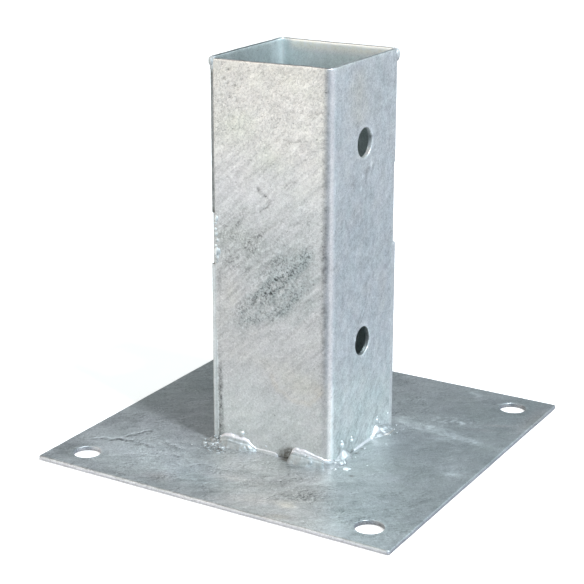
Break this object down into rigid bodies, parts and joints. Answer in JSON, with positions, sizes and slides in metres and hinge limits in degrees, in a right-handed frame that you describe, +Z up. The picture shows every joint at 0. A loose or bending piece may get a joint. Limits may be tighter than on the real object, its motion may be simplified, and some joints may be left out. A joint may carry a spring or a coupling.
{
  "type": "bolt-down post socket",
  "caption": "Galvanised steel post base: a square socket for a timber post, welded on a square plate that bolts down to concrete.",
  "frame": {"origin": "centre of the base plate's underside, where it lies on the concrete", "axes": "+Z up along the socket, +X and +Y along the plate's sides; -Y is the socket's plain front face and +X one of its two pierced faces"},
  "size_m": [0.15, 0.15, 0.1527],
  "materials": {
    "galvanised_plate": "satin",
    "galvanised_socket": "satin",
    "galvanised_weld": "satin"
  },
  "bodies": {
    "root": {"base_plate": "galvanised_plate", "front_angle": "galvanised_socket", "front_corner_foot_weld": "galvanised_weld", "front_foot_weld_left": "galvanised_weld", "front_foot_weld_right": "galvanised_weld", "left_corner_foot_weld": "galvanised_weld", "left_foot_weld_far": "galvanised_weld", "left_foot_weld_near": "galvanised_weld", "left_seam_tack": "galvanised_weld", "left_seam_weld_lower": "galvanised_weld", "left_seam_weld_middle": "galvanised_weld", "left_seam_weld_upper": "galvanised_weld", "rear_angle": "galvanised_socket", "rear_foot_weld_left": "galvanised_weld", "rear_foot_weld_right": "galvanised_weld", "right_foot_weld_far": "galvanised_weld", "right_foot_weld_near": "galvanised_weld", "right_seam_tack": "galvanised_weld", "right_seam_weld_lower": "galvanised_weld", "right_seam_weld_middle": "galvanised_weld", "right_seam_weld_upper": "galvanised_weld"}
  },
  "joints": []
}
